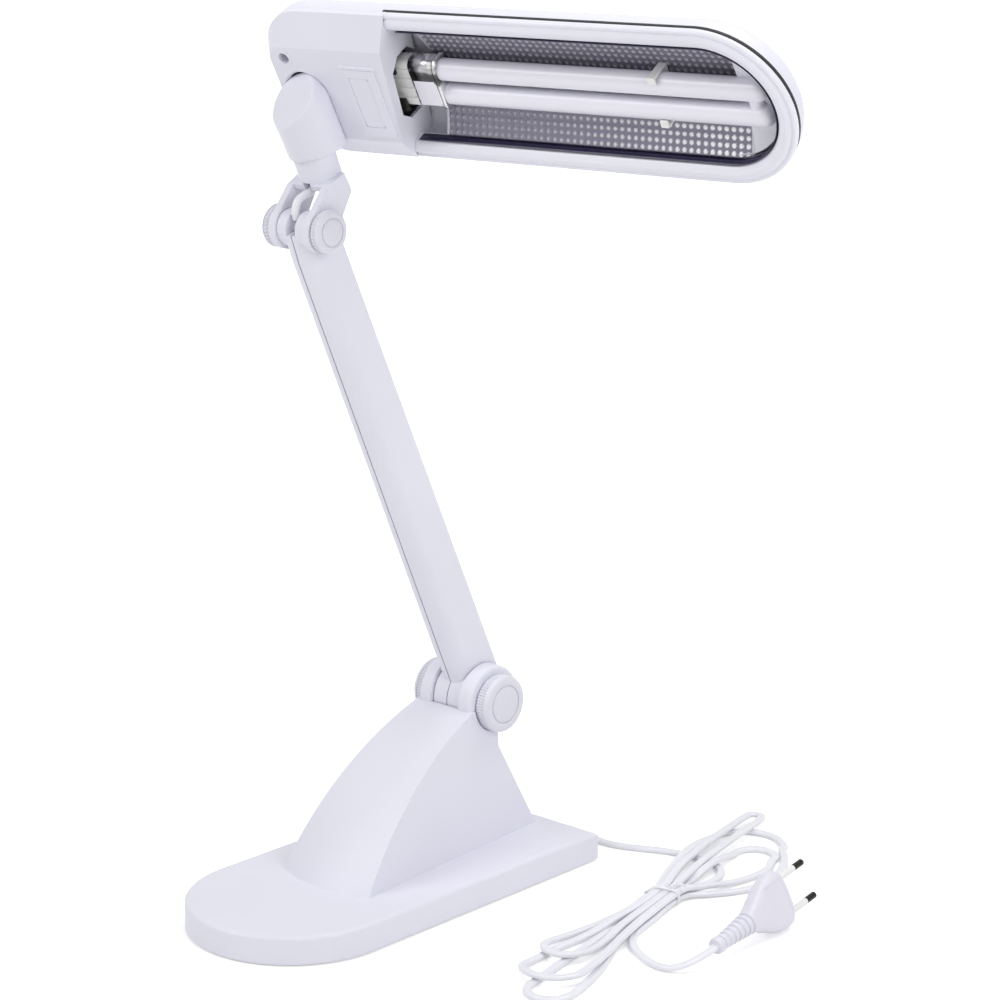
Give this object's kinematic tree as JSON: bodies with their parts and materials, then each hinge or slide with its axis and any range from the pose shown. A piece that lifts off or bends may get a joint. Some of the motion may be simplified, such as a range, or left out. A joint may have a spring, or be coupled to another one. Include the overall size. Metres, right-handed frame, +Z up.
{
  "type": "fluorescent desk lamp",
  "caption": "White desk lamp: weighted base, arm on two clamp hinges, swivelling head with a plug-in fluorescent tube, mains cord tied in a hank with a flat plug.",
  "frame": {"origin": "centre of the base's footprint on the table, under its feet", "axes": "+Z up, -Y towards the base's rounded front, hinge axes along X, the head reaches towards +X"},
  "size_m": [0.349, 0.3706, 0.5185],
  "materials": {
    "shell_white": "fine matte moulded",
    "knob_white": "satin moulded",
    "cover_grey": "matte moulded",
    "rubber_dark": "soft",
    "core_steel": "laminated",
    "coil_copper": "taped winding",
    "weight_iron": "rough",
    "terminal_white": "plain",
    "steel": "plated",
    "cord_white": "soft sheath",
    "tie_white": "plain",
    "plug_white": "soft moulded",
    "pin_dark": "plated",
    "reflector_metal": "bright, dimpled",
    "bezel_white": "gloss",
    "lamp_glass": "phosphor coated",
    "lamp_metal": "bright",
    "lamp_plastic": "plain",
    "switch_dark": "gloss",
    "brass_pin": "plain"
  },
  "bodies": {
    "base": {"base_shell": "shell_white", "base_cover": "cover_grey", "cover_posts": "shell_white", "base_screws": "steel", "rubber_feet": "rubber_dark", "choke_core": "core_steel", "choke_coil": "coil_copper", "base_weight": "weight_iron", "terminal_block": "terminal_white", "cord_clamp": "terminal_white", "cord_bush": "cord_white", "inner_cord": "cord_white", "lower_bolt": "steel", "lower_washers": "steel", "cord_lead": "cord_white", "cord_hank": "cord_white", "cord_tail": "cord_white", "cord_tie": "tie_white", "plug_body": "plug_white", "plug_pins": "pin_dark", "pin_sleeves": "tie_white"},
    "arm": {"arm_half_left": "shell_white", "arm_half_right": "shell_white", "arm_screws": "steel", "arm_cable": "cord_white"},
    "neck": {"neck_yoke": "shell_white", "upper_bolt": "steel", "neck_nut": "steel", "neck_cable": "cord_white"},
    "head": {"head_top_shell": "shell_white", "head_housing": "shell_white", "head_screw": "steel", "swivel_cup": "shell_white", "bezel_frame": "bezel_white", "reflector": "reflector_metal", "lamp_tube": "lamp_glass", "lamp_band": "lamp_metal", "lamp_cap": "lamp_plastic", "lamp_pins": "brass_pin", "lamp_holder": "lamp_plastic", "tube_clip": "lamp_plastic", "switch_body": "switch_dark"},
    "rocker": {"rocker_switch": "switch_dark"},
    "lower_knob_a": {"lower_knob_right": "knob_white"},
    "lower_knob_b": {"lower_knob_left": "knob_white"},
    "upper_knob_a": {"upper_knob_right": "knob_white"},
    "upper_knob_b": {"upper_knob_left": "knob_white"}
  },
  "joints": [
    {"name": "lower_hinge", "type": "hinge", "parent": "base", "child": "arm", "pos_m": [0, 0.0801, 0.102], "axis": [1, 0, 0], "range_deg": [-28, 30]},
    {"name": "upper_hinge", "type": "hinge", "parent": "arm", "child": "neck", "pos_m": [0, -0.04853, 0.39545], "axis": [1, 0, 0], "range_deg": [-40, 50]},
    {"name": "head_swivel", "type": "hinge", "parent": "neck", "child": "head", "pos_m": [0, -0.03426, 0.42019], "axis": [0, -0.3907, 0.9205], "range_deg": [-90, 90]},
    {"name": "lamp_rocker", "type": "hinge", "parent": "head", "child": "rocker", "pos_m": [0.01045, -0.01673, 0.48435], "axis": [0.0717, -0.51, 0.8572], "range_deg": [-14, 0]},
    {"name": "lower_knob_turn_a", "type": "hinge", "parent": "base", "child": "lower_knob_a", "pos_m": [0.025, 0.0801, 0.102], "axis": [1, 0, 0], "continuous": true},
    {"name": "lower_knob_turn_b", "type": "hinge", "parent": "base", "child": "lower_knob_b", "pos_m": [-0.025, 0.0801, 0.102], "axis": [1, 0, 0], "continuous": true},
    {"name": "upper_knob_turn_a", "type": "hinge", "parent": "neck", "child": "upper_knob_a", "pos_m": [0.018, -0.04853, 0.39545], "axis": [1, 0, 0], "continuous": true},
    {"name": "upper_knob_turn_b", "type": "hinge", "parent": "neck", "child": "upper_knob_b", "pos_m": [-0.018, -0.04853, 0.39545], "axis": [1, 0, 0], "continuous": true}
  ]
}
